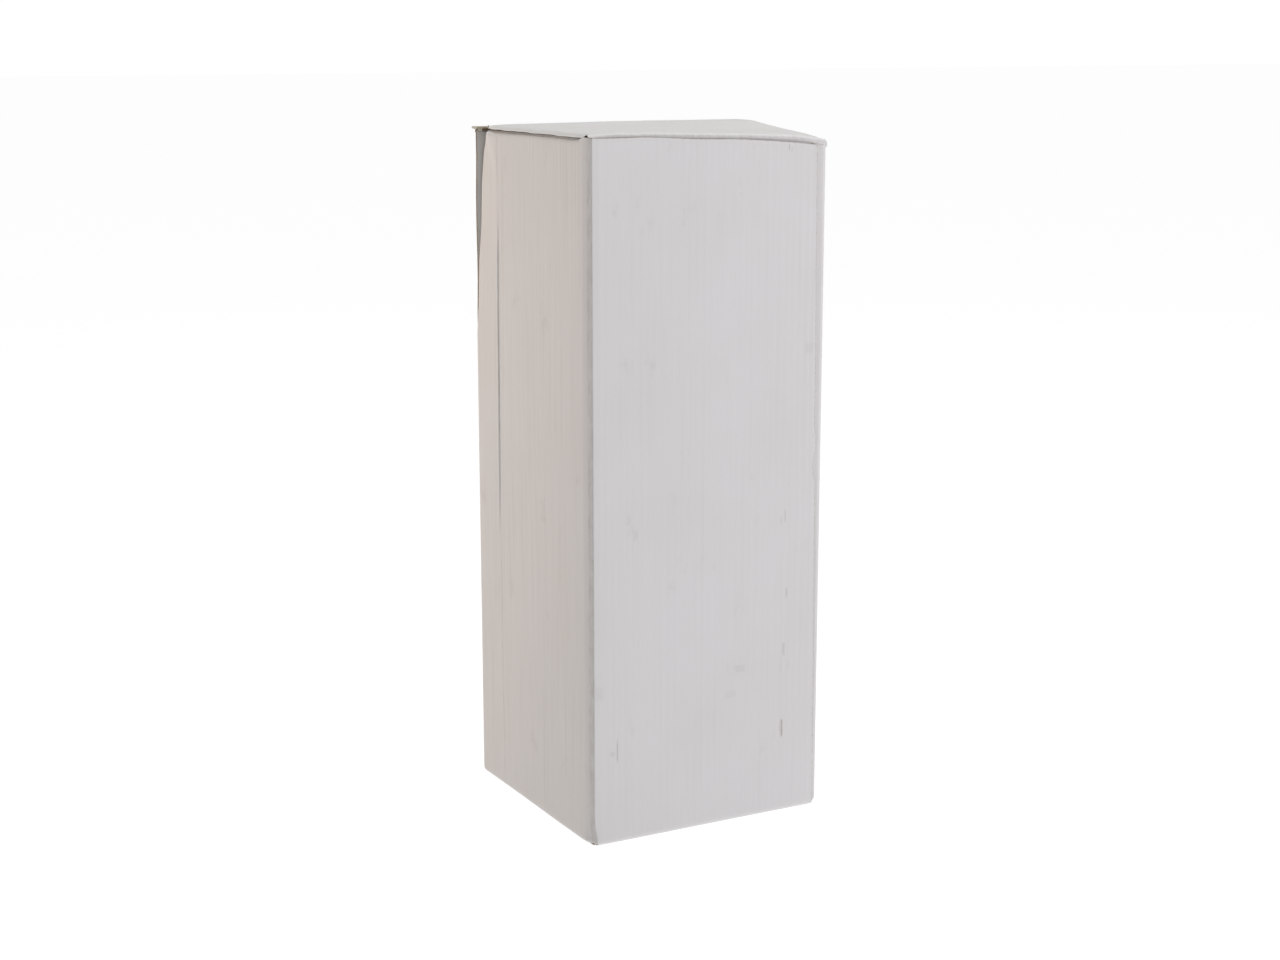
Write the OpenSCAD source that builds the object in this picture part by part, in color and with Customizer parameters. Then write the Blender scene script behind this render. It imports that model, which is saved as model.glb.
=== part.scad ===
// Display plinth folded from white-lined corrugated board.
// Two L-shaped sheets make the four walls, each with a glue tab behind the other's cut edge.
// The base flaps are glued shut, a slotted cross brace carries the top pad,
// and the lid tucks in behind the front wall.
// The front faces -Y, Z is up and the origin is at the centre of the base.  Units are mm.

/* [Overall] */
// outside width, left to right
body_w = 300; // [220:5:500]
// outside depth, front to back
body_d = 300; // [220:5:500]
// height from the floor to the top of the closed lid
body_h = 785; // [400:5:1200]

/* [Board] */
// thickness of the corrugated board
board_t = 5; // [3:0.5:7]
// radius inside a fold
fold_in = 1; // [0.5:0.5:2]
// working gap between pieces that move on each other
gap = 0.3; // [0.2:0.1:1]
// gap between the loose inner pieces and the walls around them
loose = 0.5; // [0.3:0.1:2]

/* [Wall joints] */
// width of the glue tabs inside the front right and rear left corners
tab_w = 45; // [30:1:70]
// width that is left of a glue tab beside the tuck flap
tab_top_w = 14; // [8:1:20]
// height of that narrow part
tab_neck_h = 55; // [50:1:90]
// height of the slope from the narrow part to the full width
tab_slope_h = 30; // [15:1:80]
// how far the front wall's cut edge stops short of the right side at the floor
front_short_low = 10; // [2:0.5:16]
// how far it stops short at the top, as the two sheets are glued a little askew
front_short_high = 17; // [2:0.5:18]
// how far the back wall's cut edge stops short of the left side
back_short = 4.5; // [2:0.5:16]

/* [Lid] */
// length of the tuck flap below the lid's fold
tuck_l = 45; // [30:1:48]
// inward lean of the tuck flap when the lid is closed, in degrees
tuck_lean = 10; // [5:1:12]
// how far the tuck flap stops short of the left side
tuck_inset_left = 9; // [7:1:20]
// how far it stops short of the right side, which also clears the glue tab
tuck_inset_right = 24; // [22:1:40]
// slope cut off the tuck flap's free corners
tuck_corner = 12; // [4:1:20]
// how far each dust flap reaches in from its side wall
dust_l = 138; // [60:1:145]
// front edge of a dust flap, behind the front wall's outer face
dust_front = 22; // [20:1:40]
// rear edge of a dust flap at its fold, in front of the back wall's outer face
dust_rear = 14; // [12:0.5:24]
// slope of a dust flap's rear edge, so that it rises clear of the lid
dust_slope = 0.5; // [0.45:0.01:0.6]

/* [Cross brace] */
// depth of the relief in the brace behind the tuck flap, from the front wall's outer face
relief_d = 24; // [22:1:40]
// height of that relief below the top of the brace
relief_h = 40; // [36:1:80]

/* [Hidden] */
white = [0.86, 0.85, 0.84];
kraft = [0.66, 0.53, 0.38];
// outer radius of a fold
fold_r = board_t + fold_in;
// outer faces of the walls
left_x = -body_w / 2;
right_x = body_w / 2;
front_y = -body_d / 2;
back_y = body_d / 2;
// levels from the top down
lid_z = body_h - board_t;
dust_top_z = lid_z - gap;
dust_z = dust_top_z - board_t;
side_top_z = dust_top_z - fold_r - gap;
end_top_z = body_h - fold_r - gap;
pad_z = dust_z - gap - board_t;
// levels from the floor up
base_pad_z = 2 * board_t;
brace_z = 3 * board_t;
side_foot_z = board_t + fold_r;
// half sizes of what lies inside the walls, clear of the folds at their feet
in_x = right_x - fold_r - loose;
in_y = back_y - fold_r - loose;
// the lid's front fold runs just inside the front wall
lid_front_y = front_y + board_t + gap;
// slot and relief in the cross brace
slot_w = board_t + 2 * gap;
brace_top_z = pad_z - gap;
slot_mid_z = (brace_z + brace_top_z) / 2;

// Quarter-round folds.  The tube's centre line is given, and the signs say which way it bulges.
module fold_tube(len) {
    difference() {
        cylinder(h = len, r = fold_r, $fn = 96);
        translate([0, 0, -1]) cylinder(h = len + 2, r = fold_in, $fn = 48);
    }
}

module fold_x(x0, x1, y, z, sy, sz) {
    translate([x0, y, z]) intersection() {
        rotate([0, 90, 0]) fold_tube(x1 - x0);
        translate([0, sy > 0 ? 0 : -fold_r, sz > 0 ? 0 : -fold_r]) cube([x1 - x0, fold_r, fold_r]);
    }
}

module fold_y(y0, y1, x, z, sx, sz) {
    translate([x, y0, z]) intersection() {
        rotate([-90, 0, 0]) fold_tube(y1 - y0);
        translate([sx > 0 ? 0 : -fold_r, 0, sz > 0 ? 0 : -fold_r]) cube([fold_r, y1 - y0, fold_r]);
    }
}

module fold_z(z0, z1, x, y, sx, sy) {
    translate([x, y, z0]) intersection() {
        fold_tube(z1 - z0);
        translate([sx > 0 ? 0 : -fold_r, sy > 0 ? 0 : -fold_r, 0]) cube([fold_r, fold_r, z1 - z0]);
    }
}

// Flat panels cut from an outline.  The low face is at y, x or z, and the board goes up from it.
module panel_xz(y, points) {
    translate([0, y + board_t, 0]) rotate([90, 0, 0]) linear_extrude(board_t) polygon(points);
}

module panel_yz(x, points) {
    translate([x, 0, 0]) rotate([90, 0, 90]) linear_extrude(board_t) polygon(points);
}

module panel_xy(z, points) {
    translate([0, 0, z]) linear_extrude(board_t) polygon(points);
}

// Front wall: its fold at the left joins the left wall, and its cut edge at the right slopes.
module front_wall() {
    color(white) {
        panel_xz(front_y, [
            [left_x + fold_r, fold_r], [right_x - front_short_low, fold_r],
            [right_x - front_short_high, end_top_z], [left_x + fold_r, end_top_z]]);
        fold_z(fold_r, end_top_z, left_x + fold_r, front_y + fold_r, -1, -1);
        fold_x(left_x + fold_r, right_x - front_short_low, front_y + fold_r, fold_r, -1, -1);
    }
}

// Back wall: its fold at the right joins the right wall, and its cut edge is at the left.
module back_wall() {
    color(white) {
        panel_xz(back_y - board_t, [
            [left_x + back_short, fold_r], [right_x - fold_r, fold_r],
            [right_x - fold_r, end_top_z], [left_x + back_short, end_top_z]]);
        fold_z(fold_r, end_top_z, right_x - fold_r, back_y - fold_r, 1, 1);
        fold_x(left_x + back_short, right_x - fold_r, back_y - fold_r, fold_r, 1, -1);
    }
}

// Outline of a side wall between two y values.  Its shoulders stand past the ends of the dust flap.
function side_points(y0, y1) = [
    [y0, side_foot_z], [y1, side_foot_z], [y1, end_top_z],
    [back_y - dust_rear + gap, end_top_z], [back_y - dust_rear + gap, side_top_z],
    [front_y + dust_front - gap, side_top_z], [front_y + dust_front - gap, end_top_z],
    [y0, end_top_z]];

// Left wall, with the fold at its rear that leads into the rear glue tab.
module left_wall() {
    rear = back_y - board_t - fold_r;
    color(white) {
        panel_yz(left_x, side_points(front_y + fold_r, rear));
        fold_z(side_foot_z, end_top_z, left_x + fold_r, rear, -1, 1);
        fold_y(front_y + fold_r, rear, left_x + fold_r, side_foot_z, -1, -1);
    }
}

// Right wall, with the fold at its front that leads into the front glue tab.
module right_wall() {
    front = front_y + board_t + fold_r;
    color(white) {
        panel_yz(right_x - board_t, side_points(front, back_y - fold_r));
        fold_z(side_foot_z, end_top_z, right_x - fold_r, front, 1, -1);
        fold_y(front, back_y - fold_r, right_x - fold_r, side_foot_z, 1, -1);
    }
}

// Outline of a glue tab, inward from its fold: full width below, narrow beside the tuck flap.
function tab_points(s) = [
    [s * (right_x - fold_r), brace_z + 1], [s * (right_x - tab_w), brace_z + 1],
    [s * (right_x - tab_w), end_top_z - tab_neck_h - tab_slope_h],
    [s * (right_x - fold_r - tab_top_w), end_top_z - tab_neck_h],
    [s * (right_x - fold_r - tab_top_w), end_top_z], [s * (right_x - fold_r), end_top_z]];

module front_glue_tab() {
    color(white) panel_xz(front_y + board_t, tab_points(1));
}

module rear_glue_tab() {
    color(white) panel_xz(back_y - 2 * board_t, tab_points(-1));
}

// Outer base flaps, which lie on the floor and meet in the middle.
module base_flap_front() {
    color(white) translate([left_x + 1, front_y + fold_r, 0])
        cube([body_w - 2, body_d / 2 - fold_r - loose, board_t]);
}

module base_flap_back() {
    color(white) translate([left_x + 1, loose, 0])
        cube([body_w - 2, body_d / 2 - fold_r - loose, board_t]);
}

// Inner base flaps, folded in from the side walls and glued on top of the outer ones.
module base_flap_left() {
    color(white) translate([left_x + fold_r, -in_y, board_t])
        cube([body_w / 2 - fold_r - loose, 2 * in_y, board_t]);
}

module base_flap_right() {
    color(white) translate([loose, -in_y, board_t])
        cube([body_w / 2 - fold_r - loose, 2 * in_y, board_t]);
}

// Loose square of board on the base flaps.
module base_pad() {
    color(kraft) translate([-in_x, -in_y, base_pad_z]) cube([2 * in_x, 2 * in_y, board_t]);
}

// Cross brace: two boards with half-height slots.  This one is slotted from above.
module brace_across() {
    color(kraft) difference() {
        panel_xz(-board_t / 2, [
            [-in_x, brace_z], [in_x, brace_z], [in_x, brace_top_z], [-in_x, brace_top_z]]);
        translate([-slot_w / 2, -board_t, slot_mid_z - gap]) cube([slot_w, 2 * board_t, body_h]);
    }
}

// The other board is slotted from below and cut back behind the tuck flap.
module brace_deep() {
    color(kraft) difference() {
        panel_yz(-board_t / 2, [
            [-in_y, brace_z], [in_y, brace_z], [in_y, brace_top_z], [front_y + relief_d, brace_top_z],
            [front_y + relief_d, brace_top_z - relief_h], [-in_y, brace_top_z - relief_h]]);
        translate([-board_t, -slot_w / 2, brace_z - 1])
            cube([2 * board_t, slot_w, slot_mid_z + gap - brace_z + 1]);
    }
}

// Loose board on top of the brace, which the dust flaps and the lid rest on.
// It stays clear of the tuck flap in front and of the glue tab behind.
module top_pad() {
    color(kraft) translate([-in_x, front_y + relief_d - 3, pad_z])
        cube([2 * in_x, in_y - board_t - front_y - relief_d + 3, board_t]);
}

// Lid: a panel with a fold along its front and its rear.
module lid() {
    color(white) {
        translate([left_x, lid_front_y + fold_r, lid_z])
            cube([body_w, back_y - lid_front_y - 2 * fold_r, board_t]);
        fold_x(left_x, right_x, back_y - fold_r, body_h - fold_r, 1, 1);
        fold_x(left_x, right_x, lid_front_y + fold_r, body_h - fold_r, -1, 1);
    }
}

// Tuck flap, hung from the lid's front edge and leaning in behind the front wall.
module tuck_flap() {
    start = fold_r + 5 * gap;
    x0 = left_x + tuck_inset_left;
    x1 = right_x - tuck_inset_right;
    color(white) translate([0, lid_front_y, body_h]) rotate([tuck_lean, 0, 0])
        panel_xz(0, [
            [x0, -start], [x0, tuck_corner - tuck_l], [x0 + tuck_corner, -tuck_l],
            [x1 - tuck_corner, -tuck_l], [x1, tuck_corner - tuck_l], [x1, -start]]);
}

// Outline of a dust flap inside its fold, mirrored by the sign.
function dust_points(s) = [
    [s * (right_x - fold_r), front_y + dust_front], [s * (right_x - dust_l), front_y + dust_front],
    [s * (right_x - dust_l), back_y - dust_rear - dust_slope * dust_l],
    [s * (right_x - fold_r), back_y - dust_rear - dust_slope * fold_r]];

// Dust flaps, folded in from the side walls under the lid.
module dust_flap_left() {
    color(white) {
        panel_xy(dust_z, dust_points(-1));
        fold_y(front_y + dust_front, back_y - dust_rear - dust_slope * fold_r,
            left_x + fold_r, dust_top_z - fold_r, -1, 1);
    }
}

module dust_flap_right() {
    color(white) {
        panel_xy(dust_z, dust_points(1));
        fold_y(front_y + dust_front, back_y - dust_rear - dust_slope * fold_r,
            right_x - fold_r, dust_top_z - fold_r, 1, 1);
    }
}

front_wall();
left_wall();
right_wall();
back_wall();
front_glue_tab();
rear_glue_tab();
base_flap_front();
base_flap_back();
base_flap_left();
base_flap_right();
base_pad();
brace_across();
brace_deep();
top_pad();
lid();
tuck_flap();
dust_flap_left();
dust_flap_right();
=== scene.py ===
import math
import bpy
import numpy as np
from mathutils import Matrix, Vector


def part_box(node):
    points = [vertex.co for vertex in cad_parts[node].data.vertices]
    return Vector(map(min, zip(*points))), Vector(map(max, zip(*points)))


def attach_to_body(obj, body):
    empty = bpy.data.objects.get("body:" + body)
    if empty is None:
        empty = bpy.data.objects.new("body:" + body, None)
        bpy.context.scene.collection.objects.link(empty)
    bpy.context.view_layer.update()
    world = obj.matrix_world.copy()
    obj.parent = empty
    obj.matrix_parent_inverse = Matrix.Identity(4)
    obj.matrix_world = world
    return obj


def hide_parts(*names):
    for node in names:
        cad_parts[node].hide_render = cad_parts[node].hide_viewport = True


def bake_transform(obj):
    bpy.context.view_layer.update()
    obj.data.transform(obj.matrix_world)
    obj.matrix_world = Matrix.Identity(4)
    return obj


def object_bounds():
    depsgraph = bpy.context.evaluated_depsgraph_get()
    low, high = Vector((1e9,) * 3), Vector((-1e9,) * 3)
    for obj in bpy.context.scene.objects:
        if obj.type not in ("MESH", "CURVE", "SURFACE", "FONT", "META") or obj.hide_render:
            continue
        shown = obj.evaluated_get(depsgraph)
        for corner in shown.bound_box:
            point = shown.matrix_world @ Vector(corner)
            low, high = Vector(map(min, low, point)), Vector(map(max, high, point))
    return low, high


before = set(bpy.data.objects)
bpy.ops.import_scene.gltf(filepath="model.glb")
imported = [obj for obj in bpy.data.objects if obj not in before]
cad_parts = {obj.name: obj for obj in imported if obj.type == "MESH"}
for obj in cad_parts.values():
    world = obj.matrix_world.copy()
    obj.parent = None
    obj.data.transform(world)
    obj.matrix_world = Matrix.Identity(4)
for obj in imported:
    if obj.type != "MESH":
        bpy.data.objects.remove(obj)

cad_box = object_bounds()

# ---------------------------------------------------------------------------------------------
# Front wall.  The first of two sheets of white-lined corrugated board, scored and folded round
# the front left corner.  Its right edge is cut with a knife, a little askew, and glued over the
# front glue tab.  Its foot folds under the plinth.
# ---------------------------------------------------------------------------------------------

half_w, half_d, height = (1000 * s for s in cad_box[1])
board_t = 1000 * (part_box("base_flap_front")[1].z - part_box("base_flap_front")[0].z)
fold_r = 1000 * (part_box("front_wall")[1].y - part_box("front_wall")[0].y)
wall_top = 1000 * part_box("front_wall")[1].z
flute_pitch = 8.7
skin_t = 0.45
core_t = 0.3
print_through = 0.07


class Wire:
    """A socket in a material.  Arithmetic on it adds Math nodes."""

    def __init__(self, tree, socket=None):
        self.tree, self.socket = tree, socket

    def node(self, kind, settings=None, inputs=None, out=0):
        made = self.tree.nodes.new(kind)
        for key, value in (settings or {}).items():
            if key == "stops":
                ramp = made.color_ramp.elements
                while len(ramp) < len(value):
                    ramp.new(0.5)
                for stop, (at, grey) in zip(ramp, value):
                    stop.position, stop.color = at, (grey, grey, grey, 1)
            else:
                setattr(made, key, value)
        for key, value in (inputs or {}).items():
            if isinstance(value, Wire):
                self.tree.links.new(value.socket, made.inputs[key])
            else:
                made.inputs[key].default_value = value
        return Wire(self.tree, made.outputs[out] if len(made.outputs) else None)

    def math(self, operation, *others):
        values = {i: v for i, v in enumerate((self,) + others)}
        return self.node("ShaderNodeMath", {"operation": operation}, values)

    def __add__(self, other):
        return self.math("ADD", other)

    def __sub__(self, other):
        return self.math("SUBTRACT", other)

    def __mul__(self, other):
        return self.math("MULTIPLY", other)

    def __truediv__(self, other):
        return self.math("DIVIDE", other)

    def __rsub__(self, other):
        return self.node("ShaderNodeMath", {"operation": "SUBTRACT"}, {0: other, 1: self})

    __radd__ = __add__
    __rmul__ = __mul__

    def ramp(self, low, high):
        """0 below low, 1 above high, smooth between.  High may be below low."""
        return self.node("ShaderNodeMapRange", {"interpolation_type": "SMOOTHSTEP"},
                         {"Value": self, "From Min": low, "From Max": high})

    def tint(self, colour, share):
        """This colour with another mixed over it."""
        return self.node("ShaderNodeMix", {"data_type": "RGBA"},
                         {0: share, 6: self, 7: (*colour, 1)}, 2)

    def noise(self, size, detail=3.0, stretch=(1, 1, 1), rough=0.55):
        """Noise on this vector.  The stretch makes it longer along an axis."""
        scaled = self.node("ShaderNodeVectorMath", {"operation": "DIVIDE"}, {0: self, 1: stretch})
        return scaled.node("ShaderNodeTexNoise", {},
                           {"Vector": scaled, "Scale": 1 / size, "Detail": detail, "Roughness": rough})


def new_material(name):
    """A material with one Principled shader, and a bare wire to start its nodes from."""
    made = bpy.data.materials.new(name)
    made.use_nodes = True
    made.node_tree.nodes.clear()
    start = Wire(made.node_tree)
    return made, start


def finish_material(start, colour, roughness, bump, depth):
    """Ends a material: colour, roughness and a bump, whose height is in metres."""
    raised = start.node("ShaderNodeBump", {}, {"Strength": 1.0, "Distance": depth, "Height": bump})
    start.node("ShaderNodeOutputMaterial", {}, {"Surface": start.node(
        "ShaderNodeBsdfPrincipled", {},
        {"Base Color": colour, "Roughness": roughness, "Normal": raised, "Specular IOR Level": 0.3})})


def flat_coordinates(start):
    """Places on the flat board: across the flutes, along them, and the distances to edge and score."""
    flat = start.node("ShaderNodeAttribute", {"attribute_name": "flat"}, {}, 1)
    split = flat.node("ShaderNodeSeparateXYZ", {}, {"Vector": flat})
    across = split
    along = Wire(start.tree, split.socket.node.outputs[1])
    rim = start.node("ShaderNodeAttribute", {"attribute_name": "rim"}, {}, 2)
    score = start.node("ShaderNodeAttribute", {"attribute_name": "score"}, {}, 2)
    return flat, across, along, rim, score


def liner(name, base, warm, marks=(), grime=1.0, tone_and_shade_streaks=1.0):
    """A paper skin.  Marks are scuffs as (across, along, half width, half length, strength) in mm."""
    made, start = new_material(name)
    flat, across, along, rim, score = flat_coordinates(start)
    # clouding of the paper and the fine grain that runs with the flutes
    cloud = flat.noise(0.16, 4).ramp(0.35, 0.7)
    grain = flat.noise(0.0011, 2, (1, 9, 1))
    fibre = flat.noise(0.0005, 2, (1, 2.5, 1))
    # the flutes print through the skin, and painted shade darkens their valleys in faint lines at the
    # pitch of the core
    flute_shade_wave = (across * (2000 * math.pi / flute_pitch)).math("COSINE")
    flute_shade_patches = flat.noise(0.05, 3, (1, 4, 1)).ramp(0.3, 0.75)
    colour = start.node("ShaderNodeRGB", {}, {})
    colour.socket.default_value = (*base, 1)
    colour = colour.tint(warm, cloud * 0.5)
    # painted shade: the flute valleys a little darker, in patches
    colour = colour.tint((0.40, 0.37, 0.34), (0.5 - flute_shade_wave * 0.5) * flute_shade_patches * 0.035)
    colour = colour.tint((0.5, 0.47, 0.44), grain.ramp(0.62, 0.8) * 0.14)
    # streaks along the flutes, darker and lighter: partly random tone, partly painted shade and painted
    # highlight of the flutes
    streak_tone_and_shade = flat.noise(0.0045, 3, (1, 45, 1), 0.6)
    colour = colour.tint((0.36, 0.33, 0.29), streak_tone_and_shade.ramp(0.45, 0.75) * 0.12 * tone_and_shade_streaks)
    colour = colour.tint((0.80, 0.78, 0.76), streak_tone_and_shade.ramp(0.42, 0.25) * 0.2 * tone_and_shade_streaks)
    # grime: soft smudges, short rubs along the flutes, and small specks
    smudge = flat.noise(0.035, 5, (1, 1.6, 1), 0.6).ramp(0.6, 0.78)
    rub = flat.noise(0.0042, 3, (1, 9, 1), 0.6).ramp(0.68, 0.8) * flat.noise(0.07, 2).ramp(0.5, 0.68)
    speck = flat.noise(0.0021, 2).ramp(0.755, 0.79)
    dirt = (smudge * 0.13 + rub * 0.3 + speck * 0.35).math("MINIMUM", 0.8)
    for place_u, place_v, wide, long, strength in marks:
        near_u = (across * 1000 - place_u).math("ABSOLUTE") / wide
        near_v = (along * 1000 - place_v).math("ABSOLUTE") / long
        ragged = flat.noise(0.003, 3, (1, 3, 1)) * 0.9 - 0.45
        spot = (near_u.math("MAXIMUM", near_v) + ragged).ramp(1.05, 0.55)
        dirt = (dirt + spot * (0.6 * strength)).math("MINIMUM", 0.85)
    colour = colour.tint((0.27, 0.225, 0.19), dirt * grime)
    # the cut edges fray to brown, and the scores are rubbed and a little grey
    fray = (rim * 1000 + flat.noise(0.004, 4) * 2.6).ramp(2.3, 1.0)
    colour = colour.tint((0.36, 0.27, 0.19), fray * 0.55 * grime)
    worn = (score * 1000 + flat.noise(0.006, 4, (1, 3, 1)) * 5).ramp(4.4, 1.6)
    colour = colour.tint((0.42, 0.385, 0.36), worn * 0.4 * grime)
    roughness = 0.62 + grain * 0.16 + dirt * 0.15
    bump = fibre * 0.35 + grain * 0.65 - dirt * 0.5 - worn * flat.noise(0.0022, 3) * 0.8
    finish_material(start, colour, roughness, bump, 0.00012)
    return made


def brown_core():
    """The bare core and the torn edges of the skins: brown fluting paper."""
    made, start = new_material("core_paper")
    flat, across, along, rim, score = flat_coordinates(start)
    fibre = flat.noise(0.0008, 4)
    dark = flat.noise(0.012, 3)
    colour = start.node("ShaderNodeRGB", {}, {})
    colour.socket.default_value = (0.40, 0.29, 0.185, 1)
    colour = colour.tint((0.2, 0.135, 0.085), dark.ramp(0.35, 0.7) * 0.6)
    colour = colour.tint((0.58, 0.47, 0.33), fibre.ramp(0.5, 0.75) * 0.5)
    finish_material(start, colour, 0.85 + fibre * 0.1, fibre, 0.0002)
    return made


white_outside = (0.665, 0.652, 0.654)
white_warm = (0.635, 0.615, 0.605)
grey_inside = (0.57, 0.555, 0.54)
inside_warm = (0.52, 0.495, 0.465)
front_marks = [
    (268, 109, 1.1, 15, 0.55), (53.0, 102, 1.5, 12, 0.85), (55.5, 104, 0.7, 7, 0.5),
    (52, 196, 2.4, 9, 0.3), (49, 262, 1.6, 7, 0.35), (52, 353, 1.2, 8, 0.3), (57, 348, 1.0, 6, 0.25),
    (24, 543, 7, 7, 0.12), (110, 181, 8, 5, 0.16), (122, 152, 9, 5, 0.1), (245, 352, 4, 7, 0.14),
    (53.5, 771, 0.9, 4, 0.5), (50.0, 769, 0.8, 3, 0.35), (15.5, 770, 0.9, 4, 0.5), (274, 106, 4, 3, 0.2)]
# the front copy has the scuffs and about a third of the streaks of tone and painted shade; the other
# pieces take them in full
outside_liner = liner("white_liner", white_outside, white_warm)
front_liner = liner("white_liner_front", white_outside, white_warm, front_marks, 1.0, 0.35)
inside_liner = liner("grey_liner", grey_inside, inside_warm)
core_paper = brown_core()


def course(start, heading, moves, side):
    """A path made of (length, turn in degrees) moves, as a lookup from distance to place and normal.
    The normal is on the left of the path where side is 1, and on its right where it is -1."""
    step = 0.05
    at, angle = np.array(start, float), math.radians(heading)
    places, angles, ends = [at.copy()], [angle], [0.0]
    for length, turn in moves:
        count = max(1, round(length / step))
        for _ in range(count):
            angle += math.radians(turn) / count / 2
            at = at + np.array([math.cos(angle), math.sin(angle)]) * length / count
            angle += math.radians(turn) / count / 2
            places.append(at.copy())
            angles.append(angle)
        ends.append(ends[-1] + length)
    lengths = np.concatenate([[0], np.cumsum(np.linalg.norm(np.diff(places, axis=0), axis=1))])
    lengths *= ends[-1] / lengths[-1]
    places, angles = np.array(places), np.array(angles)

    def lookup(u):
        a = np.interp(u, lengths, angles)
        spot = [np.interp(u, lengths, places[:, k]) for k in (0, 1)]
        beyond = np.maximum(u - lengths[-1], 0) + np.minimum(u, 0)
        return (spot[0] + beyond * np.cos(a), spot[1] + beyond * np.sin(a),
                -side * np.sin(a), side * np.cos(a))
    return lookup, ends


def soft_step(x, low, high):
    """0 at low, 1 at high, smooth between."""
    t = np.clip((x - low) / (high - low), 0, 1)
    return t * t * (3 - 2 * t)


# the rear left corner is pushed in near the top, which opens the joint there
dent_z = [545, 575, 625, 672, 721, 757, 770, 785]
dent_in = [0, 2.0, 3.6, 7.0, 8.4, 11.4, 14.6, 16.0]
dent_reach = 66


def settle(x, y, z):
    """Bends the places of the finished plinth a little, as board does: bowed walls, dents and a sag."""
    along_x = np.sin(np.pi * np.clip((x + half_w) / (2 * half_w), 0, 1))
    along_y = np.sin(np.pi * np.clip((y + half_d) / (2 * half_d), 0, 1))
    up = np.sin(np.pi * np.clip(z / height, 0, 1))
    wave = np.sin(z / 71 + 0.6) * np.sin(x / 47 + 1.1) * 0.35
    wave_side = np.sin(z / 63 + 2.1) * np.sin(y / 43 + 0.4) * 0.35
    front = soft_step(-y, half_d - 25, half_d - 8)
    back = soft_step(y, half_d - 25, half_d - 8)
    left = soft_step(-x, half_w - 25, half_w - 8)
    right = soft_step(x, half_w - 25, half_w - 8)
    dy = front * along_x * (0.9 * up + wave) - back * along_x * (0.8 * up + wave)
    dx = -left * along_y * (1.2 * up - wave_side) + right * along_y * (0.7 * up + wave_side)
    # the dented corner, turned about the score line that it made in the wall
    reach = np.where(z > 740, dent_reach - (z - 740) * 0.7, dent_reach)
    share = np.clip((y - (half_d - 5 - reach)) / reach, 0, 1)
    sheltered = np.clip(1 - (x + half_w) / 48, 0, 1)
    pushed = np.interp(z, dent_z, dent_in) * share * np.where(x < 0, sheltered, 0)
    pushed = np.where(y > half_d - 4.9, 0, pushed)
    dx = dx + pushed
    dy = dy - 0.3 * pushed * soft_step(y, half_d - 30, half_d - 8)
    # the top has gone out of true: low at the front right, raised halfway along the right side
    ahead = soft_step(y, 70, -half_d)
    tilt = np.interp(x, [-half_w, -86, -13, 50, half_w], [1.0, 1.4, -0.4, -2.0, -3.8]) * ahead
    right_edge = np.interp(y, [-145, -128, -114, -87, -65, -27, 0, 12, 36, 68, 140],
                           [-8.2, -5.2, -3.8, -1.4, -0.1, 2.9, 5.4, 5.7, 5.3, 3.6, 0.0])
    out = np.clip((x + 10) / (half_w + 10), 0, 1)
    dropped = np.minimum(right_edge, 0) * out ** 4
    raised = np.maximum(right_edge, 0) * out ** 1.6
    left_rise = 1.6 * np.clip(-x / half_w, 0, 1) ** 3 * along_y
    corner = -2.6 * np.exp(-((x + half_w) / 22) ** 2 - ((y - half_d) / 26) ** 2)
    dz = soft_step(z, 600, 772) * (tilt + dropped + raised + left_rise + corner)
    # the corner at the foot of the soft fold is pushed in
    foot = np.exp(-(np.hypot(x + half_w, y + half_d) / 14) ** 2) * soft_step(z, 34, 0)
    dx, dy = dx + 4.5 * foot, dy + 0.8 * foot
    return x + dx, y + dy, z + dz


def columns(low, high, extra=()):
    """Distances across the flutes: six to each flute, with both ends and any extras."""
    step = flute_pitch / 6
    inner = np.arange(math.ceil(low / step), math.floor(high / step) + 1) * step
    inner = inner[(inner > low + 0.3) & (inner < high - 0.3)]
    inner = [u for u in inner if all(abs(u - e) > 0.25 for e in extra)]
    return np.array(sorted({low, high, *inner, *extra}))


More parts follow.
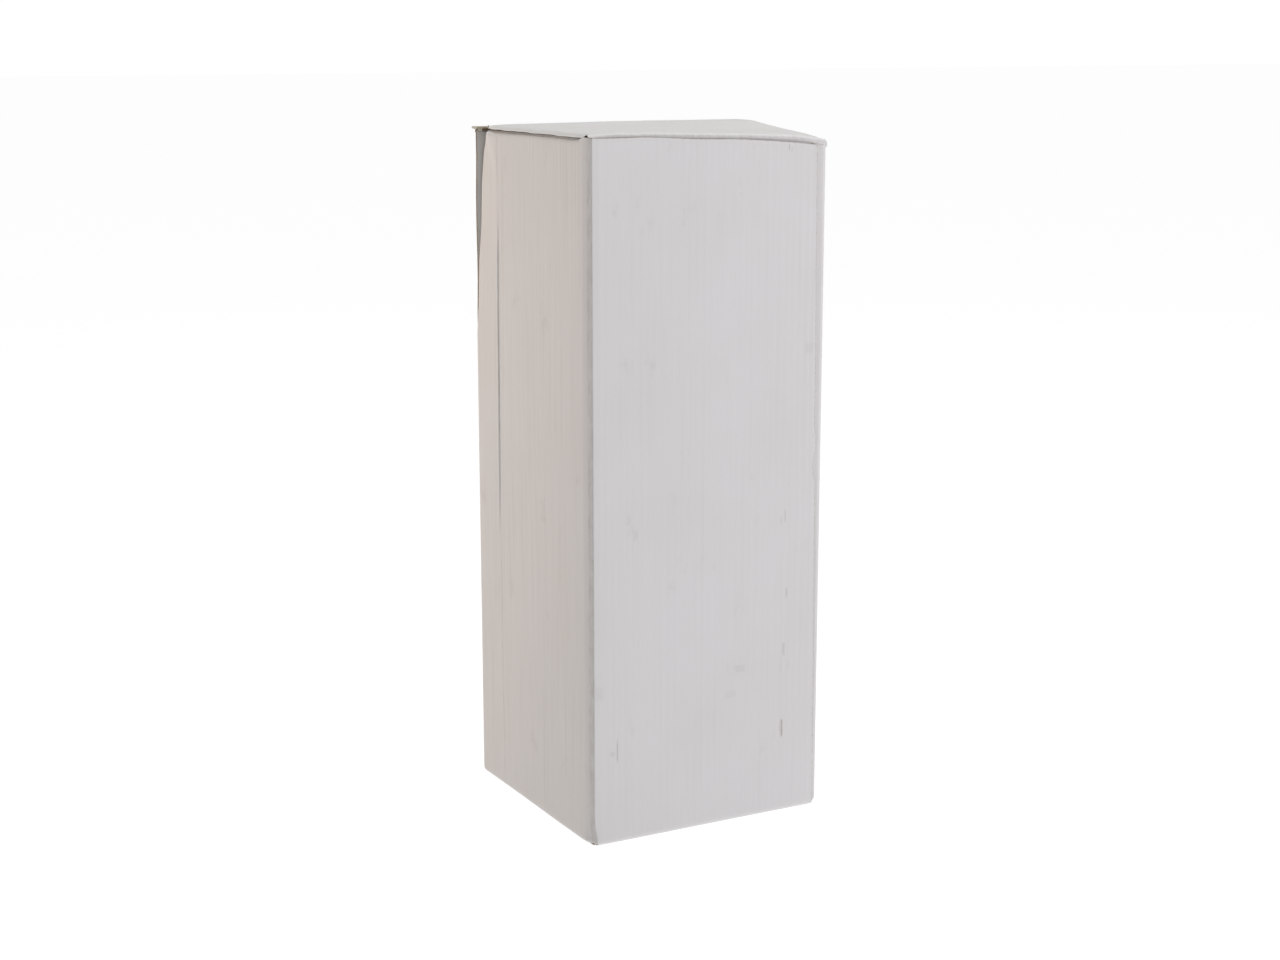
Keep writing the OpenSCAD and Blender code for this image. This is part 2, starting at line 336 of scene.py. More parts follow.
def board(name, u, v, place, skins=None, scores=(), squeeze=None, edges=(1, 1, 1, 1), pinch=(0, 0)):
    """Two paper skins on a wavy core, as three closed shells.  u and v are grids of places on the
    flat board in mm, and place(u, v, w) puts the point w below the outer skin where it belongs.
    Scores are ("u" or "v", value) fold lines.  Squeeze gives the share of the thickness that is
    left and the depth that it is pressed towards.  Edges says which of low u, high u, low v and
    high v are cut edges.  Pinch draws the core back between the skins at either end of u."""
    n, m = u.shape
    turn = 2 * np.pi * u / flute_pitch
    half = board_t / 2 - skin_t - core_t / 2
    middle = board_t / 2 - half * np.cos(turn)
    dip = print_through * (1 - np.cos(turn)) / 2
    rise = print_through * (1 + np.cos(turn)) / 2
    layers = [(dip, dip + skin_t, 0, 2), (middle - core_t / 2, middle + core_t / 2, 2, 2),
              (board_t - skin_t - rise, board_t - rise, 2, 1)]
    share, anchor = squeeze(u, v) if squeeze else (np.ones_like(u), 0.0)
    rim = np.full(u.shape, 1e3)
    for cut, far in zip(edges, (u - u[:1], u[-1:] - u, v - v[:, :1], v[:, -1:] - v)):
        rim = np.minimum(rim, np.abs(far)) if cut else rim
    score = np.full(u.shape, 1e3)
    for axis, value in scores:
        score = np.minimum(score, np.abs((u if axis == "u" else v) - value))
    verts, flats, rims, marks, faces, slots = [], [], [], [], [], []
    ids = np.arange(n * m).reshape(n, m)
    drawn = u + pinch[0] * soft_step(u, u[:1] + 9, u[:1]) - pinch[1] * soft_step(u, u[-1:] - 9, u[-1:])
    for top, bottom, top_slot, bottom_slot in layers:
        first = sum(len(b) for b in verts)
        across = drawn if top_slot == bottom_slot else u
        for w in (top, bottom):
            w = anchor + (w - anchor) * share
            verts.append(np.stack(place(across, v, w), -1).reshape(-1, 3))
            flats.append(np.stack([across, v, w], -1).reshape(-1, 3))
            rims.append(rim.reshape(-1))
            marks.append(score.reshape(-1))
        a, b = ids + first, ids + first + n * m
        quads = lambda g: np.stack([g[:-1, :-1], g[1:, :-1], g[1:, 1:], g[:-1, 1:]], -1).reshape(-1, 4)
        faces += [quads(a), quads(b)[:, ::-1]]
        slots += [np.full((n - 1) * (m - 1), top_slot), np.full((n - 1) * (m - 1), bottom_slot)]
        ring = np.concatenate([ids[:, 0], ids[-1, 1:], ids[-2::-1, -1], ids[0, -2::-1]])
        side = np.stack([ring[:-1] + first + n * m, ring[1:] + first + n * m, ring[1:] + first,
                         ring[:-1] + first], -1)
        faces.append(side)
        slots.append(np.full(len(side), min(top_slot, bottom_slot)))
    verts, faces = np.concatenate(verts) / 1000, np.concatenate(faces)
    # the outer skin's middle face shows which way round the faces have to go
    k = ids[n // 2, m // 2]
    side_u, side_v = verts[k + m] - verts[k], verts[k + 1] - verts[k]
    if np.dot(np.cross(side_u, side_v), verts[k] - verts[k + n * m]) < 0:
        faces = faces[:, ::-1]
    mesh = bpy.data.meshes.new(name)
    mesh.from_pydata(verts.tolist(), [], faces.tolist())
    mesh.attributes.new("flat", "FLOAT_VECTOR", "POINT").data.foreach_set(
        "vector", (np.concatenate(flats) / 1000).astype(np.float32).ravel())
    for label, values in (("rim", rims), ("score", marks)):
        mesh.attributes.new(label, "FLOAT", "POINT").data.foreach_set(
            "value", (np.concatenate(values) / 1000).astype(np.float32))
    for material in (*(skins or (outside_liner, inside_liner)), core_paper):
        mesh.materials.append(material)
    mesh.polygons.foreach_set("material_index", np.concatenate(slots).astype(np.int32))
    mesh.shade_smooth()
    mesh.set_sharp_from_angle(angle=math.radians(40))
    made = bpy.data.objects.new(name, mesh)
    bpy.context.scene.collection.objects.link(made)
    return made


def attach(piece, body, node):
    """The piece stands for one CAD node and rides on that node's body."""
    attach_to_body(piece, body)
    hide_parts(node)


def standing(plan, top_z=2 * height):
    """Puts a sheet that stands on its foot in place.  plan is its course, v is the height, the foot
    turns under below fold_r, and the top turns inwards above top_z - fold_r."""
    def place(u, v, w):
        x, y, nx, ny = plan(u)
        low = np.maximum(fold_r - v, 0)
        high = np.maximum(v - (top_z - fold_r), 0)
        quarter = fold_r * np.pi / 2
        angle = np.minimum(low + high, quarter) / fold_r
        beyond = np.maximum(low + high - quarter, 0)
        bent = angle > 0
        inward = np.where(bent, fold_r - (fold_r - w) * np.cos(angle) + beyond, w)
        middle = np.where(high > 0, top_z - fold_r, fold_r)
        z = np.where(bent, middle + np.where(high > 0, 1, -1) * (fold_r - w) * np.sin(angle), v)
        return settle(x - nx * inward, y - ny * inward, z)
    return place


# the first sheet runs from the front wall's cut edge round to the rear glue tab
front_run = 2 * half_w - 4.4
bevel = [(2.2, -74), (8.0, -3), (9.0, -13)]
plan_a, ends_a = course((half_w, -half_d), 180, [(front_run, 0)] + bevel, 1)
corner_at = np.array(plan_a(np.array([ends_a[4]]))[:2]).ravel()
plan_a, ends_a = course(
    (half_w - (corner_at[0] + half_w), -half_d), 180,
    [(front_run, 0)] + bevel
    + [(half_d - board_t - fold_r - corner_at[1], 0), (fold_r * np.pi / 2, -90), (60, 0)], 1)
place_front = standing(plan_a)

# the foot turns right under between the corners, but only starts to at the corners themselves
foot_low = fold_r * (1 - np.pi / 2)
corner_foot = -1.5
cut_low, cut_high = 10.3, 17.0


def front_cut(v):
    """Where the knife cut runs, with the torn nick halfway up."""
    lean = cut_low + (cut_high - cut_low) * np.clip(v / wall_top, 0, 1)
    nick = -1.8 * soft_step(v, 452, 440) + 3.4 * soft_step(v, 424, 418) - 2.6 * soft_step(v, 396, 388)
    ragged = 0.25 * np.sin(v / 3.1) * np.sin(v / 7.7 + 1)
    return lean + nick + ragged + 0.7 * np.exp(-((v - 408) / 5) ** 2)


heights = np.unique(np.concatenate([
    np.linspace(foot_low, fold_r, 7), [9, 13, 18, 26, 36], np.linspace(50, 380, 14),
    np.arange(384, 458, 3.0), np.linspace(466, 745, 13), [752, 758, 763, 768, 772, 776, wall_top]]))
cut_start = 10.0
u_front = columns(cut_start, ends_a[4], list(np.linspace(ends_a[1], ends_a[4], 22)))
u_grid, v_grid = np.meshgrid(u_front, heights, indexing="ij")
in_corner = u_grid > ends_a[1] + 0.4
risen = (v_grid - foot_low) / (wall_top - foot_low)
v_grid = np.where(in_corner, corner_foot + risen * (wall_top - corner_foot), v_grid)
askew = -0.016 * (half_w - u_grid) + 0.35 * np.sin(u_grid / 17 + 1)
v_grid = v_grid + askew * soft_step(v_grid, 640, wall_top)
# the columns nearest the cut edge are drawn over to follow it
band = 24
band_end = cut_start + band
u_grid = np.where(u_grid < band_end,
                  front_cut(v_grid) + (u_grid - cut_start) * (band_end - front_cut(v_grid)) / band, u_grid)


def corner_squeeze(u, v):
    """The score is pressed to about half the board's thickness, and the cut edge is a little soft."""
    near = soft_step(u, ends_a[1] - 7, ends_a[1] + 1) * soft_step(u, ends_a[4] + 2, ends_a[4] - 7)
    cut = soft_step(u, 18, 11)
    return 1 - 0.5 * near - 0.22 * cut, 0.6


front_wall = board("wall_front", u_grid, v_grid, place_front, (front_liner, inside_liner),
                   [("u", ends_a[1] + step) for step in (2.5, 5.5, 8)], corner_squeeze, (1, 0, 0, 1))
attach(front_wall, "plinth", "front_wall")

# ---------------------------------------------------------------------------------------------
# Left wall.  The same sheet goes on round the soft corner, along the left side and round the
# rear left corner, where a knock has pushed it in and raised a crease beside the glue tab.
# ---------------------------------------------------------------------------------------------

dust_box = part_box("dust_flap_left")
dust_top = 1000 * dust_box[1].z
dust_front, dust_rear = 1000 * dust_box[0].y, 1000 * dust_box[1].y
hinge_low = dust_top - fold_r - 0.6


def crease_side(place):
    """Adds the long crease: a sharp groove with a small ridge behind it, nearly upright."""
    def creased(u, v, w):
        x, y, z = place(u, v, w)
        line = half_d - 5 - dent_reach + 0.9 * np.sin(z / 90) - 0.02 * (z - 480)
        strong = soft_step(z, 270, 400) * soft_step(z, 720, 610)
        groove = 0.9 * np.exp(-((y - line - 2.4) / 1.3) ** 2) - 1.1 * np.exp(-((y - line) / 0.9) ** 2)
        upper = soft_step(z, 600, 660) * soft_step(z, 765, 730)
        second = 0.45 * np.exp(-((y - line + 7) / 1.6) ** 2) * upper
        near = soft_step(-x, half_w - 20, half_w - 12)
        return x - (groove * strong + second) * near, y, z
    return creased


def stepped(u, steps, outside):
    """A height that changes in sharp steps across the board: steps are (from, to, height)."""
    made = np.full(u.shape, float(outside))
    for low, high, value in steps:
        made = np.where((u > low) & (u < high), value, made)
    return made


place_left = crease_side(place_front)
u_of_y = lambda y: ends_a[4] + (y - corner_at[1])
flap_from, flap_to = u_of_y(dust_front - 0.3), u_of_y(dust_rear + 3.3)
crease_u = u_of_y(half_d - 5 - dent_reach)
u_left = columns(ends_a[4], ends_a[6], [
    flap_from, flap_from + 0.3, flap_to, flap_to + 0.3, *np.arange(crease_u - 8, crease_u + 8, 0.8),
    *np.linspace(ends_a[5], ends_a[6], 9)])
rows = np.unique(np.concatenate([np.linspace(0, 0.02, 7), np.linspace(0.02, 0.68, 30),
                                 np.linspace(0.68, 1, 26)]))
u_grid, share_grid = np.meshgrid(u_left, rows, indexing="ij")
foot = np.where(u_grid > ends_a[5] + 0.3, corner_foot, foot_low)
top = stepped(u_grid, [(flap_from, flap_to + 0.1, hinge_low)], wall_top)
top = top + 0.5 * np.sin(u_grid / 23) * (top > hinge_low + 1)
v_grid = foot + (top - foot) * share_grid


def rear_squeeze(u, v):
    """The rear fold is pressed a little less than the front one, which is creased hard."""
    near = soft_step(u, ends_a[5] - 5, ends_a[5] + 2) * soft_step(u, ends_a[6] + 3, ends_a[6] - 2)
    start = soft_step(u, ends_a[4] + 10, ends_a[4] - 2)
    return 1 - 0.3 * near - 0.15 * start, 0.6


left_wall = board("wall_left", u_grid, v_grid, place_left, None,
                  [("u", ends_a[5] + 4.7), ("u", crease_u)], rear_squeeze, (0, 0, 0, 0))
attach(left_wall, "plinth", "left_wall")

# ---------------------------------------------------------------------------------------------
# Rear glue tab.  The end of the first sheet, tucked behind the back wall and glued to it.
# It is cut narrow near the top, where the glue has let go.
# ---------------------------------------------------------------------------------------------

tab_w = 1000 * (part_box("rear_glue_tab")[1].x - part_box("rear_glue_tab")[0].x)
tab_low = 1000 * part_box("rear_glue_tab")[0].z


def tab_grid(fold_end, narrow=14, neck=55, slope=30):
    """A tab as a grid from its fold outwards: full width below and narrow near the top."""
    v = np.unique(np.concatenate([np.linspace(tab_low, wall_top - neck - slope, 24),
                                  np.linspace(wall_top - neck - slope, wall_top - neck, 6),
                                  np.linspace(wall_top - neck, wall_top - 0.3, 8)]))
    wide = np.interp(v, [wall_top - neck - slope, wall_top - neck], [tab_w, narrow])
    out = columns(0, tab_w)
    share, v = np.meshgrid(out / tab_w, v, indexing="ij")
    return fold_end + share * wide[None, :], v


u_grid, v_grid = tab_grid(ends_a[6])
rear_tab = board("tab_rear", u_grid, v_grid, place_front, None, [], None, (0, 1, 1, 1))
attach(rear_tab, "plinth", "rear_glue_tab")

# ---------------------------------------------------------------------------------------------
# Back wall, right wall and front glue tab.  The second sheet starts at the back wall's cut edge
# at the rear left, folds round the rear right corner and ends in the tab behind the front wall.
# ---------------------------------------------------------------------------------------------

back_cut = 1000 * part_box("back_wall")[0].x
plan_b, ends_b = course((back_cut, half_d), 0, [
    (half_w - fold_r - back_cut, 0), (fold_r * np.pi / 2, -90),
    (2 * half_d - 2 * fold_r - board_t, 0), (fold_r * np.pi / 2, -90), (60, 0)], 1)
place_back = standing(plan_b)
back_top = 1000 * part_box("back_wall")[1].z - 0.3
rows = np.unique(np.concatenate([np.linspace(0, 0.02, 7), np.linspace(0.02, 0.9, 22),
                                 np.linspace(0.9, 1, 7)]))


def fold_squeeze(*folds):
    """Presses the board at its upright folds, each given by its start and end."""
    def squeeze(u, v):
        near = sum(soft_step(u, a - 5, a + 2) * soft_step(u, b + 5, b - 2) for a, b in folds)
        return 1 - 0.3 * near, 0.6
    return squeeze


def back_squeeze(u, v):
    """The back wall's cut edge was crushed flat as it was glued, mostly near the top."""
    share, anchor = fold_squeeze((ends_b[1], ends_b[2]))(u, v)
    return share - 0.45 * soft_step(u, 8, 0.5) * soft_step(v, 480, 620), anchor


def ragged_start(u, v):
    """The same edge is cut a little askew and has curled in near the top."""
    cut = 0.9 * soft_step(v, 400, 780) + 0.5 * np.sin(v / 23) + 0.4
    return np.where(u < 24, cut + u * (24 - cut) / 24, u)


u_back = columns(0, ends_b[2], list(np.linspace(ends_b[1], ends_b[2], 9)))
u_grid, share_grid = np.meshgrid(u_back, rows, indexing="ij")
foot = np.where(u_grid > ends_b[1] + 0.3, corner_foot, foot_low)
v_grid = foot + (back_top - foot) * share_grid
u_grid = ragged_start(u_grid, v_grid)
back_wall = board("wall_back", u_grid, v_grid, place_back, None, [("u", ends_b[1] + 4.7)],
                  back_squeeze, (1, 0, 0, 0))
attach(back_wall, "plinth", "back_wall")

right_of_y = lambda y: ends_b[2] + (half_d - fold_r - y)
flap_from_r, flap_to_r = right_of_y(dust_rear + 3.3), right_of_y(dust_front - 0.3)
u_right = columns(ends_b[2], ends_b[4], [
    flap_from_r, flap_from_r - 0.3, flap_to_r, flap_to_r + 0.3, *np.linspace(ends_b[3], ends_b[4], 9)])
u_grid, share_grid = np.meshgrid(u_right, rows, indexing="ij")
foot = np.where(u_grid > ends_b[3] + 0.3, corner_foot, foot_low)
top = stepped(u_grid, [(flap_from_r - 0.1, flap_to_r + 0.1, hinge_low)], wall_top)
v_grid = foot + (top - foot) * share_grid
right_wall = board("wall_right", u_grid, v_grid, place_back, None, [("u", ends_b[3] + 4.7)],
                   fold_squeeze((ends_b[3], ends_b[4])), (0, 0, 0, 0))
attach(right_wall, "plinth", "right_wall")

u_grid, v_grid = tab_grid(ends_b[4])
front_tab = board("tab_front", u_grid, v_grid, place_back, None, [], None, (0, 1, 1, 1))
attach(front_tab, "plinth", "front_glue_tab")

# ---------------------------------------------------------------------------------------------
# Base flaps and base pad.  The outer flaps lie on the floor and meet in the middle, the inner
# ones are glued on top of them, and a loose brown pad covers both.
# ---------------------------------------------------------------------------------------------


def flat_grid(low_u, high_u, low_v, high_v, rows=8):
    """A rectangle of board as a grid."""
    return np.meshgrid(columns(low_u, high_u), np.linspace(low_v, high_v, rows), indexing="ij")


def lying(top_z, across="x", face_down=False):
    """Puts a flat sheet down level, with its flutes along y, or along x where across is y."""
    def place(u, v, w):
        x, y = (u, v) if across == "x" else (v, u)
        z = np.broadcast_to(top_z - board_t + w if face_down else top_z - w, x.shape)
        return x, y, z
    return place


def node_mm(node):
    low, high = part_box(node)
    return [1000 * c for c in low], [1000 * c for c in high]


flap_short = 20
for node, across in (("base_flap_front", "x"), ("base_flap_back", "x"),
                     ("base_flap_left", "y"), ("base_flap_right", "y")):
    low, high = node_mm(node)
    a, b = (0, 1) if across == "x" else (1, 0)
    inner = across == "y"
    low[a], high[a] = (low[a], high[a]) if inner else (low[a] + flap_short, high[a] - flap_short)
    u_grid, v_grid = flat_grid(low[a], high[a], low[b], high[b], 40 if inner else 8)
    soft = lambda u, v, l=low[a], h=high[a]: (
        1 - 0.25 * soft_step(np.minimum(u - l, h - u), 6, 0), board_t / 2)

    def place_flap(u, v, w, flat=lying(high[2], across, True), inner=inner):
        x, y, z = flat(u, v, w)
        return x, y, z - inner * board_t * soft_step(half_w - np.abs(x), 20, fold_r)

    flap = board(node.replace("base_flap", "flap_base"), u_grid, v_grid, place_flap, None, [], soft)
    attach(flap, "plinth", node)

brown_board = liner("brown_liner", (0.42, 0.315, 0.205), (0.36, 0.265, 0.17), (), 0.5)
low, high = node_mm("base_pad")
u_grid, v_grid = flat_grid(low[0], high[0], low[1], high[1])
base_pad = board("pad_base", u_grid, v_grid, lying(high[2]), (brown_board, brown_board))
attach(base_pad, "plinth", "base_pad")

# ---------------------------------------------------------------------------------------------
# Cross brace and top pad.  Two brown boards are slotted together into a cross that stands on
# the base pad.  The top pad lies loose on it and spreads the load of what is on show.
# ---------------------------------------------------------------------------------------------

slot_half = 2.8
mid_z = sum(node_mm("brace_across")[i][2] for i in (0, 1)) / 2
low, high = node_mm("brace_across")
u_grid, share_grid = np.meshgrid(
    columns(low[0], high[0], [-slot_half - 0.3, -slot_half, slot_half, slot_half + 0.3]),
    np.linspace(0, 1, 9), indexing="ij")
top = np.where(np.abs(u_grid) < slot_half + 0.1, mid_z, high[2])
brace_across = board("brace_across_board", u_grid, low[2] + (top - low[2]) * share_grid,
                     lambda u, v, w: (u, low[1] + w, v), (brown_board, brown_board))
attach(brace_across, "plinth", "brace_across")

low_d, high_d = node_mm("brace_deep")
relief_y, relief_z = -half_d + 24, high_d[2] - 40
u_grid, share_grid = np.meshgrid(
    columns(low_d[1], high_d[1], [-slot_half - 0.3, -slot_half, slot_half, slot_half + 0.3,
                                  relief_y, relief_y + 0.3]),
    np.linspace(0, 1, 9), indexing="ij")
foot = np.where(np.abs(u_grid) < slot_half + 0.1, mid_z, low_d[2])
top = np.where(u_grid < relief_y + 0.1, relief_z, high_d[2])
brace_deep = board("brace_deep_board", u_grid, foot + (top - foot) * share_grid,
                   lambda u, v, w: (low_d[0] + w, u, v), (brown_board, brown_board))
attach(brace_deep, "plinth", "brace_deep")

pad_low, pad_high = node_mm("top_pad")
clip_from, clip_depth = -126.0, 26
u_grid, share_grid = np.meshgrid(columns(pad_low[0], pad_high[0], [clip_from]), np.linspace(0, 1, 16),
                                 indexing="ij")
clipped = np.interp(u_grid, [pad_low[0], clip_from], [clip_depth, 0])
v_grid = pad_low[1] + (pad_high[1] - clipped - pad_low[1]) * share_grid


def settled(place):
    """A flat piece that shares the small bends of the plinth around it."""
    return lambda u, v, w: settle(*place(u, v, w))


top_pad = board("pad_top", u_grid, v_grid, settled(lying(pad_high[2])), (brown_board, brown_board),
                [], None, (1, 1, 1, 1))
attach(top_pad, "plinth", "top_pad")

# ---------------------------------------------------------------------------------------------
# Dust flaps.  Each is the top of a side wall, scored and folded in under the lid.  The flutes
# run towards its free edge, and its rear edge is cut on a slant so that it clears the lid.
# The fold itself is a row of fixed strips that don't move with the flap.
# ---------------------------------------------------------------------------------------------

quarter = fold_r * np.pi / 2
past_bend = 1.52


def bending_fold(name, u_all, reach, rows, place, scores, squeeze, count, pinch=0):
    """A crease between two bodies, made of strips side by side along a crease that isn't quite
    straight.  Each strip is baked where it lies and doesn't bend."""
    cuts = np.linspace(0, len(u_all) - 1, count + 1).round().astype(int)
    for k in range(count):
        u_part = u_all[cuts[k]:cuts[k + 1] + 1]
        u_grid, v_grid = np.meshgrid(u_part, np.linspace(*reach, rows), indexing="ij")
        first, last = int(k == 0), int(k == count - 1)
        strip = board(f"{name}_{k + 1}", u_grid, v_grid, place, None, scores, squeeze,
                      (first, last, 0, 0), (pinch * first, pinch * last))
        middle = u_part[[len(u_part) // 2]]
        start, end = (tuple(float(c[0]) / 1000 for c in place(middle, np.array([v]), board_t))
                      for v in reach)
        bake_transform(strip)


flap_reach = 138
slant_from = 66
for side, plan, u_at, body, node in (
        ("left", plan_a, u_of_y, "dust_left", "dust_flap_left"),
        ("right", plan_b, right_of_y, "dust_right", "dust_flap_right")):
    place_dust = standing(plan, dust_top)
    start_v = dust_top - fold_r
    ends = sorted((u_at(dust_front), u_at(dust_rear)))
    u_flap = columns(ends[0], ends[1])
    # the crease, from the wall's top round to the level of the flap
    press = lambda u, v, s=start_v: (1 - 0.35 * soft_step(np.abs(v - s - quarter / 2), 7, 2), 0.6)
    v_start = start_v + quarter + past_bend
    bending_fold("fold_dust_" + side, u_flap, (hinge_low + 0.02, v_start), 14, place_dust,
                 [("v", start_v + quarter / 2)], press, 7)
    # the panel, out to its free edge
    u_grid, share_grid = np.meshgrid(u_flap, np.linspace(0, 1, 18), indexing="ij")
    y_of_u = (half_d - fold_r + ends_b[2] - u_grid) if side == "right" else (
        corner_at[1] + u_grid - ends_a[4])
    far = np.where(y_of_u > slant_from, flap_reach - (y_of_u - slant_from) * 2, flap_reach)
    far = np.maximum(far + 1.2 * np.sin(u_grid / 19), 4.5 + fold_r)
    v_grid = v_start + (start_v + quarter - fold_r + far - v_start) * share_grid
    flap = board("flap_dust_" + side, u_grid, v_grid, place_dust, None, [],
                 lambda u, v, s=v_start: (1 - 0.12 * soft_step(v, s + 6, s), 0.6), (1, 1, 0, 1))
    attach(flap, body, node)

# ---------------------------------------------------------------------------------------------
# Lid.  The top panel folds forwards from the back wall and lies on the dust flaps.  Its side
# edges are crushed by handling, it sags a little, and its rear left corner is broken open.
# The fold at the rear is a row of fixed strips that don't move with the lid.
# ---------------------------------------------------------------------------------------------

lid_low = node_mm("lid")[0]
tuck_turn = 90 + 10
panel = (half_d - fold_r) - (lid_low[1] + fold_r)
over, ends_l = course((half_d, back_top - 4), 90, [
    (height - fold_r - back_top + 4, 0), (quarter, 90), (panel, 0),
    (fold_r * np.pi / 2 * tuck_turn / 90, tuck_turn), (60, 0)], -1)


def place_lid(u, v, w):
    y, z, ny, nz = over(v)
    x = u + 0 * v
    y, z = y - ny * w, z - nz * w
    left_side = soft_step(u, -half_w + 30, -half_w)
    x = x + left_side * (4.8 * soft_step(v, ends_l[2] + 70, ends_l[2] + 8)
                         + 2.6 * soft_step(v, ends_l[3] - 26, ends_l[3] - 6))
    x, y, z = settle(x, y, z)
    level = soft_step(z, height - 9, height - 4)
    across = (u + half_w) / (2 * half_w)
    deep = (y + half_d) / (2 * half_d)
    # soft waves, a shallow kink near the front left, and the left edge lifting in the middle
    lift = 0.5 * np.sin(across * 6.1 + 0.7) * np.sin(deep * 4.4 + 1.2)
    kink = 0.9 * np.exp(-((u + 88 - 0.45 * (y + 140)) / 6) ** 2) * soft_step(y, -30, -120)
    edge = soft_step(u, -half_w + 40, -half_w)
    left_wave = 0.3 * np.sin(y / 11) + 0.25 * np.sin(y / 5.3 + 1) - 0.5 - 0.8 * soft_step(y, 60, -70)
    return x, y, z + level * (lift - kink + edge * left_wave)


def lid_squeeze(u, v):
    """The cut side edges are crushed thin, and the folds are pressed."""
    to_edge = np.minimum(u + half_w, half_w - u)
    crush = soft_step(to_edge, 8, 0.5)
    whole = soft_step(-u, 0, 60) * soft_step(v, ends_l[2] + 48, ends_l[2] + 26)
    to_fold = np.minimum(np.abs(v - (ends_l[3] + ends_l[4]) / 2),
                         np.abs(v - (ends_l[1] + ends_l[2]) / 2))
    folded = soft_step(to_fold, 14, 4)
    thin = np.where(v > ends_l[2] + 100, 0.86, 0.78) - 0.55 * whole - 0.3 * folded * (1 - whole)
    return 1 - crush * thin - 0.3 * folded * (1 - crush), 4.7 - 4.1 * folded


rear_start = ends_l[1] - (height - fold_r - back_top)
u_lid = columns(-half_w + 0.6, half_w - 0.6, [-half_w + 1.5, -half_w + 2.7, -half_w + 4, half_w - 1.5,
                                              half_w - 2.7, half_w - 4])
bending_fold("fold_lid_rear", u_lid, (rear_start + 0.02, ends_l[2] + past_bend), 12, place_lid,
             [("v", (ends_l[1] + ends_l[2]) / 2)], lid_squeeze, 6, 1.0)

rows = np.unique(np.concatenate([np.linspace(0, 0.3, 26), np.linspace(0.3, 1, 30)]))
u_grid, share_grid = np.meshgrid(u_lid, rows, indexing="ij")
v_grid = ends_l[2] + past_bend + (ends_l[3] - 1 - ends_l[2] - past_bend) * share_grid
lid = board("lid_panel", u_grid, v_grid, place_lid, None, [], lid_squeeze, (1, 1, 0, 0), (1, 1))
attach(lid, "lid", "lid")

# the torn skin at the rear left corner curls away in flakes: one along the rear, two down the side
torn_liner = liner("torn_liner", (0.80, 0.76, 0.64), (0.70, 0.64, 0.50), (), 0.25)


def rear_flake(u, v, w):
    curl = 0.05 * v * v
    return (u - half_w + 0.9, half_d - 1.4 - 0.36 * u - curl - w,
            height - 2.4 - v + 0.3 * np.sin(u / 1.9))


def side_flake(from_y, top_z, out):
    def place(u, v, w):
        curl = 0.9 * np.sin(u / 5.3) * v / 4 + 0.11 * v * v
        return settle(-out - curl * 0.6 + w, from_y - u, top_z - v + 0.35 * np.sin(u / 2.7))
    return place


for name, length, tall, place in (
        ("torn_flake_rear", 14, 6.4, rear_flake),
        ("torn_flake_upper", 36, 4.6, side_flake(half_d - 3, 785.2, 145.6)),
        ("torn_flake_lower", 38, 3.4, side_flake(half_d - 20, 779.0, 143.8))):
    u_grid, share_grid = np.meshgrid(np.linspace(0, length, 60), np.linspace(0, 1, 9), indexing="ij")
    bite = 0.75 + 0.16 * np.sin(u_grid * 0.83 + tall) + 0.12 * np.sin(u_grid * 2.1)
    taper = 0.35 + 0.65 * soft_step(np.minimum(u_grid + 1, length - u_grid + 1.5), 0, 9)
    flake = board(name, u_grid, share_grid * tall * bite * taper, place, (torn_liner, torn_liner), [],
                  lambda u, v: (0.14, 0.0))
    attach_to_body(flake, "lid")

# ---------------------------------------------------------------------------------------------
# Tuck flap.  The front of the lid, scored and folded down behind the front wall.  Its free
# corners are cut off so that it slips in, and its edge shows the flutes.
# ---------------------------------------------------------------------------------------------

tuck_low, tuck_high = node_mm("tuck_flap")
bending_fold("fold_lid_front", u_lid, (ends_l[3] - 0.98, ends_l[4] + 1.02), 16, place_lid,
             [("v", (ends_l[3] + ends_l[4]) / 2 + 1)], lid_squeeze, 9, 1.0)

tuck_top = ends_l[4] + 1.04
tuck_reach = 36
clip = 12
u_tuck = columns(tuck_low[0], tuck_high[0], [tuck_low[0] + clip, tuck_high[0] - clip])
u_grid, share_grid = np.meshgrid(u_tuck, np.linspace(0, 1, 10), indexing="ij")
cut = np.maximum(np.maximum(tuck_low[0] + clip - u_grid, u_grid - tuck_high[0] + clip), 0)
reach = ends_l[4] + tuck_reach - cut + 0.6 * np.sin(u_grid / 13)
v_grid = tuck_top + (reach - tuck_top) * share_grid
tuck = board("flap_tuck", u_grid, v_grid, place_lid, None, [], None, (1, 1, 0, 1))
attach(tuck, "tuck", "tuck_flap")

# ---------------------------------------------------------------------------------------------
# Floor, light and camera: a plain pale studio.
# ---------------------------------------------------------------------------------------------

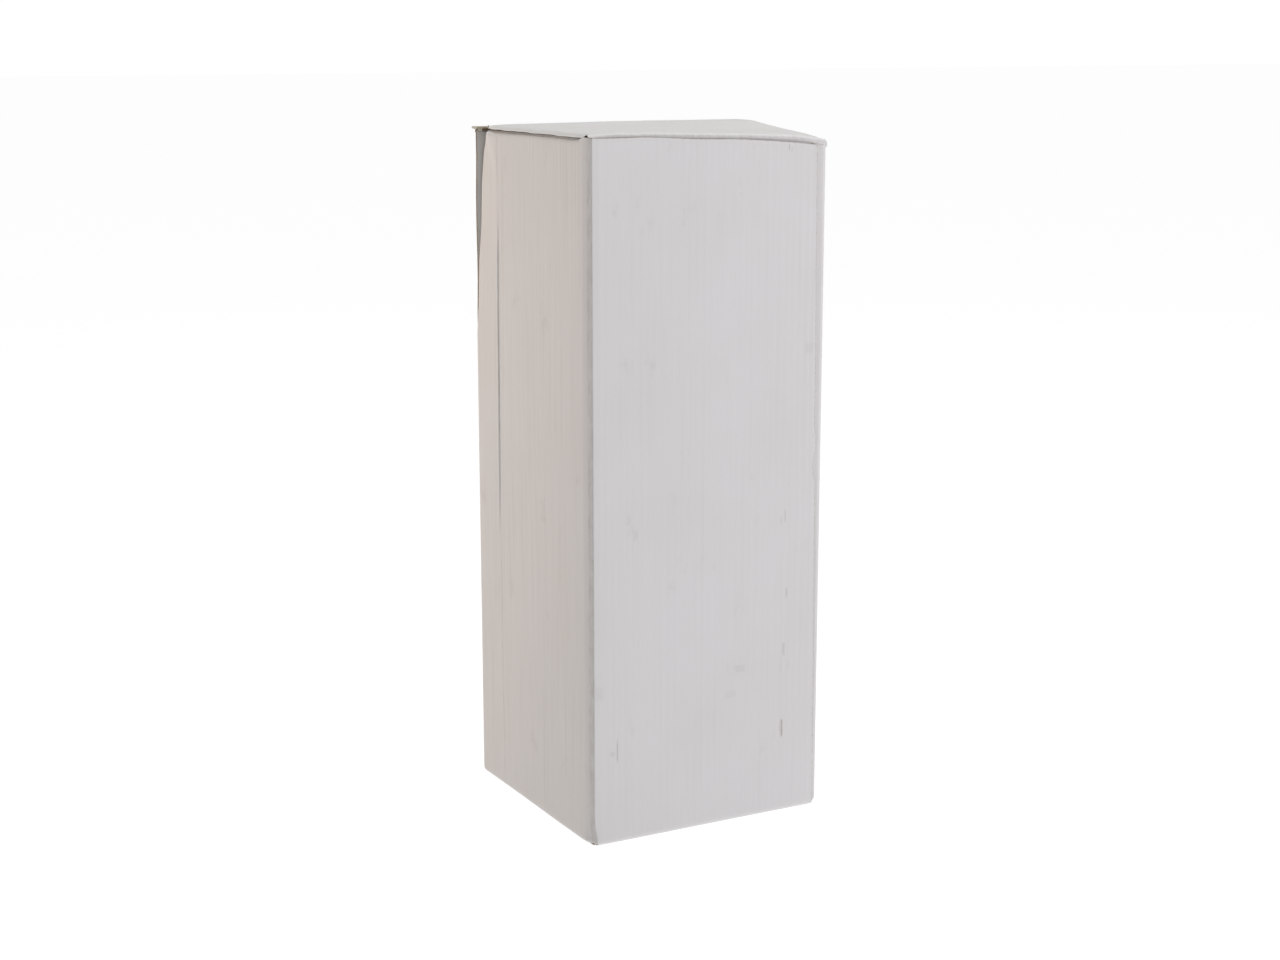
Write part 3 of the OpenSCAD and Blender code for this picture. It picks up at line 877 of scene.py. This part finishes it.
floor_mesh = bpy.data.meshes.new("floor")
floor_mesh.from_pydata([(-40, -40, 0), (40, -40, 0), (40, 40, 0), (-40, 40, 0)], [], [(0, 1, 2, 3)])
floor = bpy.data.objects.new("floor", floor_mesh)
bpy.context.scene.collection.objects.link(floor)
made, start = new_material("studio_floor")
start.node("ShaderNodeOutputMaterial", {}, {"Surface": start.node(
    "ShaderNodeBsdfPrincipled", {},
    {"Base Color": (0.12, 0.12, 0.12, 1), "Roughness": 0.9, "Specular IOR Level": 0.1,
     "Emission Color": (1, 1, 1, 1), "Emission Strength": 0.97})})
floor_mesh.materials.append(made)

world = bpy.data.worlds.new("studio")
bpy.context.scene.world = world
world.use_nodes = True
world.node_tree.nodes.clear()
sky = Wire(world.node_tree)
seen = sky.node("ShaderNodeLightPath", {}, {}, 0)
dim = sky.node("ShaderNodeBackground", {}, {"Color": (0.99, 0.99, 1, 1), "Strength": 0.08})
bright = sky.node("ShaderNodeBackground", {}, {"Color": (1, 1, 1, 1), "Strength": 1.05})
sky.node("ShaderNodeOutputWorld", {}, {"Surface": sky.node(
    "ShaderNodeMixShader", {}, {0: seen, 1: dim, 2: bright})})


def softbox(name, place, aim, size, power, colour):
    """A square studio light at a place, aimed at a point."""
    data = bpy.data.lights.new(name, "AREA")
    data.size, data.energy, data.color = size, power, colour
    made = bpy.data.objects.new(name, data)
    made.location = place
    made.rotation_euler = (Vector(aim) - Vector(place)).to_track_quat("-Z", "Y").to_euler()
    made.visible_camera = False
    bpy.context.scene.collection.objects.link(made)


softbox("cool_front", (2.6, -2.9, 1.2), (0, 0, 0.4), 1.8, 78, (0.97, 0.96, 1.0))
softbox("warm_rear_left", (-1.02, 1.34, 0.6), (-0.15, 0.05, 0.42), 0.8, 11.5, (1.0, 0.80, 0.63))
softbox("above", (0.2, 0.2, 3.2), (0, 0, 0), 2.0, 66, (0.99, 1.0, 0.98))

camera_data = bpy.data.cameras.new("camera")
camera = bpy.data.objects.new("camera", camera_data)
bpy.context.scene.collection.objects.link(camera)
bpy.context.scene.camera = camera
camera_data.sensor_width = 36
camera_data.lens = 60.2
camera.location = (-1.173, -2.152, 0.894)
camera.rotation_euler = (math.radians(90 - 11.92), 0, math.radians(-28.43))
camera_data.clip_end = 100
bpy.context.scene.view_settings.view_transform = "Standard"

bpy.context.view_layer.update()
